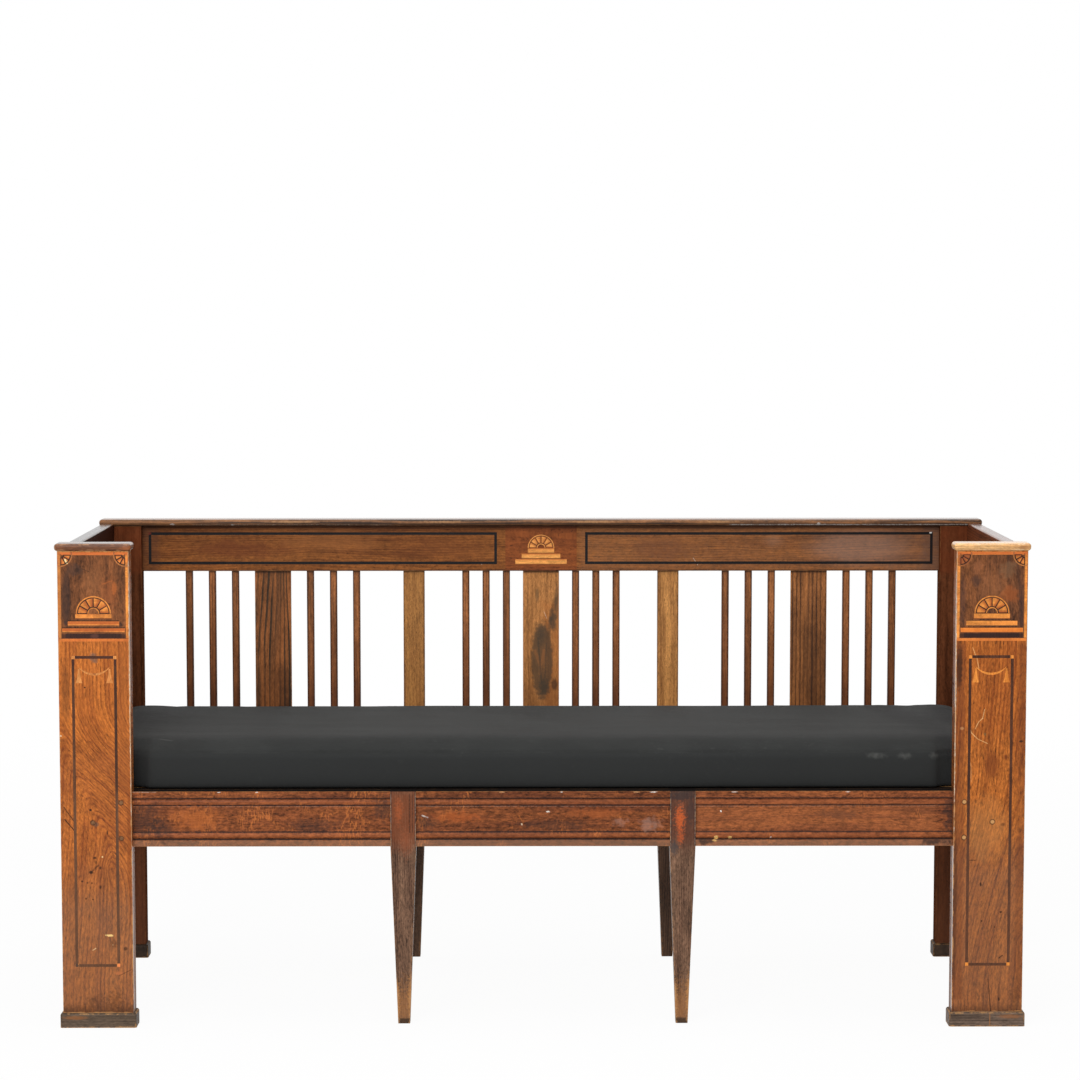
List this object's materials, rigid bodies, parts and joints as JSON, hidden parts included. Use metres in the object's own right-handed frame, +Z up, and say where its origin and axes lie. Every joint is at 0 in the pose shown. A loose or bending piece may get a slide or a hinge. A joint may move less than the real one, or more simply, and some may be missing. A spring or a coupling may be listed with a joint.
{
  "type": "settle",
  "caption": "Long oak box settle with marquetry posts, open spindle back and sides, tapered middle legs and a loose black seat cushion.",
  "frame": {"origin": "on the floor, at the middle of the settle's bounding box", "axes": "+X along the settle to its right-hand post as seen from the front, -Y out of its front, +Z up"},
  "size_m": [1.776, 0.609, 0.894],
  "materials": {
    "oak_post": "aged oak, waxed",
    "oak_dark": "dark aged oak, waxed",
    "oak_frieze": "aged oak, waxed",
    "oak_apron": "reddish aged oak, waxed",
    "oak_cap": "worn oak",
    "oak_shoe": "scuffed dark oak",
    "oak_leg": "worn oak",
    "oak_spindle": "aged oak, waxed",
    "oak_slat": "aged oak, waxed",
    "walnut_veneer": "waxed walnut veneer",
    "satinwood": "waxed satinwood",
    "ebony": "waxed ebony",
    "pine_hidden": "sawn pine, unfinished",
    "peg_oak": "end grain oak",
    "black_fabric": "matt woven cotton cover"
  },
  "bodies": {
    "frame": {"apron_center": "oak_apron", "apron_left": "oak_apron", "apron_right": "oak_apron", "arm_rail_left": "oak_dark", "arm_rail_right": "oak_dark", "back_cap_rail": "oak_dark", "back_frieze_rail": "oak_frieze", "back_narrow_slat_left": "oak_slat", "back_narrow_slat_right": "oak_slat", "back_plaque_satinwood": "satinwood", "back_plaque_veneer": "walnut_veneer", "back_spindles_inner_left": "oak_spindle", "back_spindles_inner_right": "oak_spindle", "back_spindles_middle_left": "oak_spindle", "back_spindles_middle_right": "oak_spindle", "back_spindles_outer_left": "oak_spindle", "back_spindles_outer_right": "oak_spindle", "back_wide_slat_center": "oak_slat", "back_wide_slat_left": "oak_slat", "back_wide_slat_right": "oak_slat", "cross_bearer_left": "pine_hidden", "cross_bearer_right": "pine_hidden", "frame_pegs": "peg_oak", "frieze_ebony_stringing": "ebony", "front_cap_left": "oak_cap", "front_cap_right": "oak_cap", "front_foot_left": "oak_shoe", "front_foot_right": "oak_shoe", "front_middle_leg_left": "oak_leg", "front_middle_leg_right": "oak_leg", "front_post_left": "oak_post", "front_post_right": "oak_post", "post_ebony_stringing_left": "ebony", "post_ebony_stringing_right": "ebony", "post_panel_satinwood_left": "satinwood", "post_panel_satinwood_right": "satinwood", "post_panel_veneer_left": "walnut_veneer", "post_panel_veneer_right": "walnut_veneer", "post_swag_inlay_left": "satinwood", "post_swag_inlay_right": "satinwood", "rear_foot_left": "oak_shoe", "rear_foot_right": "oak_shoe", "rear_middle_leg_left": "oak_leg", "rear_middle_leg_right": "oak_leg", "rear_post_left": "oak_dark", "rear_post_right": "oak_dark", "rear_seat_rail": "oak_dark", "seat_bearer_left": "pine_hidden", "seat_bearer_right": "pine_hidden", "seat_board_1": "pine_hidden", "seat_board_2": "pine_hidden", "seat_board_3": "pine_hidden", "seat_board_4": "pine_hidden", "side_seat_rail_left": "oak_dark", "side_seat_rail_right": "oak_dark", "side_spindles_left": "oak_spindle", "side_spindles_right": "oak_spindle", "side_wide_slat_left": "oak_slat", "side_wide_slat_right": "oak_slat"},
    "cushion": {"seat_cushion": "black_fabric"}
  },
  "joints": [
    {"name": "cushion_lift", "type": "slide", "parent": "frame", "child": "cushion", "axis": [0, 0, 1], "range_m": [0, 0.5]}
  ]
}
